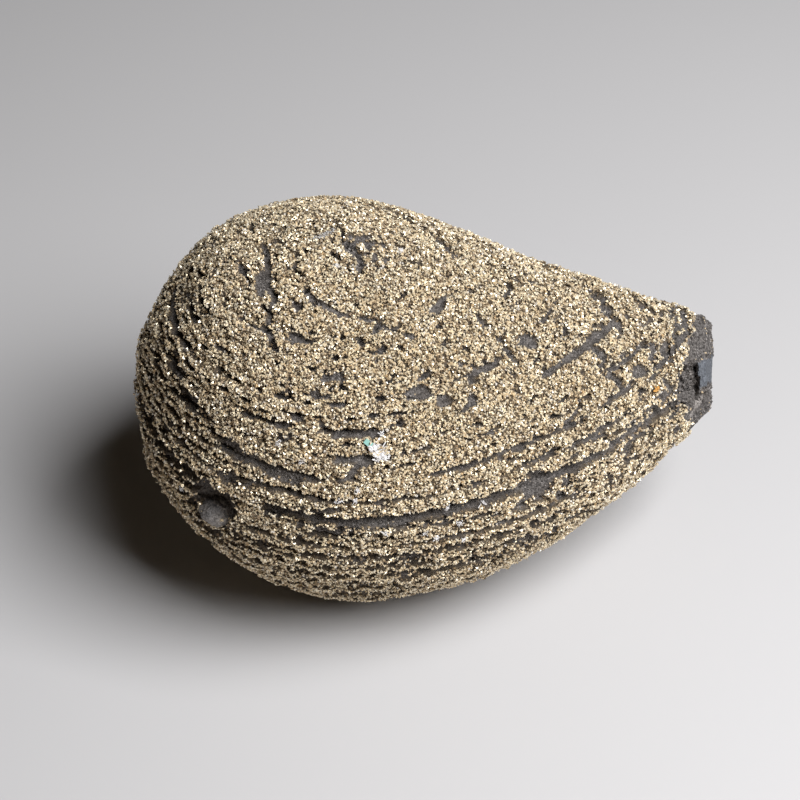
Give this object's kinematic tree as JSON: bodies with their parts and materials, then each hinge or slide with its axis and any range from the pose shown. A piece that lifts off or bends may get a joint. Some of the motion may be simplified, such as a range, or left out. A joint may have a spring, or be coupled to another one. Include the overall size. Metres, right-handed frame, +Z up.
{
  "type": "pyrite concretion",
  "caption": "Pear-shaped pyrite concretion: a bedded shale lump under a granular pyrite crust, with a broken neck, lying on a small flat spot.",
  "frame": {"origin": "middle of the bounding box in plan, on the surface that the flat spot rests on", "axes": "+X along the long axis from the blunt end to the broken neck, +Z up, +Y away from the side that the picture shows"},
  "size_m": [0.0866, 0.0588, 0.0579],
  "materials": {
    "pyrite_crust": "granular pale brass pyrite crystals that glint",
    "grey_shale": "bare dark grey shale, matt and finely rough",
    "lint": "specks of pale lint and one blue-green fibre tuft caught in the crust"
  },
  "bodies": {
    "root": {"concretion": "pyrite_crust"}
  },
  "joints": []
}
